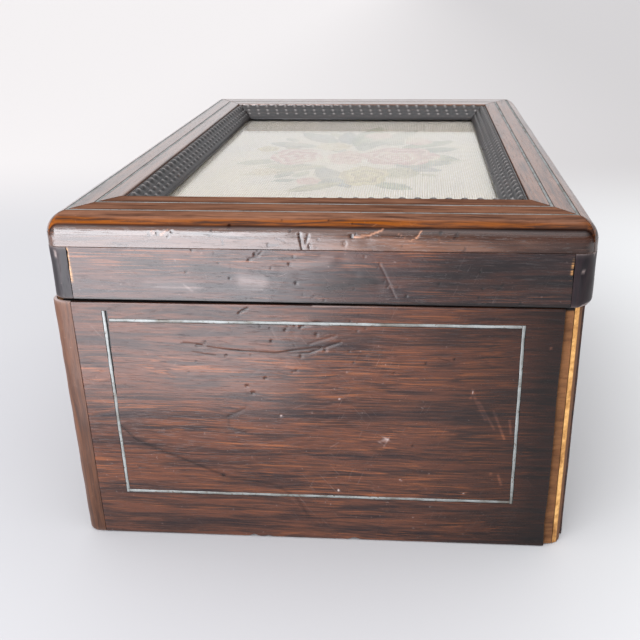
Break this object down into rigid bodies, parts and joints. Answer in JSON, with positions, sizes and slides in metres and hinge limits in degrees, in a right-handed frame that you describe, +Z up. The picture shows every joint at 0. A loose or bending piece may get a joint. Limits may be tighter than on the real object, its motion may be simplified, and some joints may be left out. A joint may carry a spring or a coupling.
{
  "type": "needlepoint box",
  "caption": "Rosewood veneered box with a lift-off lid; floral needlepoint lies under glass in the lid's frame, and a corner bead is lost.",
  "frame": {"origin": "middle of the underside of the bottom board", "axes": "+X to the right seen from the front, +Y from front to back, +Z up"},
  "size_m": [0.2016, 0.282, 0.1384],
  "materials": {
    "rosewood_panel": "old polish, worn satin",
    "rosewood_frame": "old polish, worn gloss",
    "corner_bead": "ebonised, satin",
    "ripple_moulding": "ebonised, gloss",
    "carcass_wood": "bare, aged",
    "metal_string": "tarnished, satin",
    "glass_pane": "clear",
    "needlepoint": "wool tent stitch"
  },
  "bodies": {
    "root": {"base_bottom_board": "carcass_wood", "base_front_board": "carcass_wood", "base_front_panel": "rosewood_panel", "base_front_left_string": "metal_string", "base_front_right_string": "metal_string", "base_front_top_string": "metal_string", "base_front_bottom_string": "metal_string", "base_right_board": "carcass_wood", "base_right_panel": "rosewood_panel", "base_right_left_string": "metal_string", "base_right_right_string": "metal_string", "base_right_top_string": "metal_string", "base_right_bottom_string": "metal_string", "base_back_board": "carcass_wood", "base_back_panel": "rosewood_panel", "base_back_left_string": "metal_string", "base_back_right_string": "metal_string", "base_back_top_string": "metal_string", "base_back_bottom_string": "metal_string", "base_left_board": "carcass_wood", "base_left_panel": "rosewood_panel", "base_left_left_string": "metal_string", "base_left_right_string": "metal_string", "base_left_top_string": "metal_string", "base_left_bottom_string": "metal_string", "base_back_right_bead": "corner_bead", "base_back_left_bead": "corner_bead", "base_front_left_bead": "corner_bead", "lid_front_board": "carcass_wood", "lid_front_panel": "rosewood_panel", "lid_right_board": "carcass_wood", "lid_right_panel": "rosewood_panel", "lid_back_board": "carcass_wood", "lid_back_panel": "rosewood_panel", "lid_left_board": "carcass_wood", "lid_left_panel": "rosewood_panel", "lid_front_right_bead": "corner_bead", "lid_back_right_bead": "corner_bead", "lid_back_left_bead": "corner_bead", "lid_front_left_bead": "corner_bead", "lid_right_outer_string": "metal_string", "lid_left_outer_string": "metal_string", "lid_front_outer_string": "metal_string", "lid_back_outer_string": "metal_string", "lid_right_inner_string": "metal_string", "lid_left_inner_string": "metal_string", "lid_front_inner_string": "metal_string", "lid_back_inner_string": "metal_string", "lid_front_frame": "rosewood_frame", "lid_front_ripple_moulding": "ripple_moulding", "lid_right_frame": "rosewood_frame", "lid_right_ripple_moulding": "ripple_moulding", "lid_back_frame": "rosewood_frame", "lid_back_ripple_moulding": "ripple_moulding", "lid_left_frame": "rosewood_frame", "lid_left_ripple_moulding": "ripple_moulding", "lid_glass_pane": "glass_pane", "lid_needlepoint_canvas": "needlepoint", "lid_backing_board": "carcass_wood"}
  },
  "joints": []
}
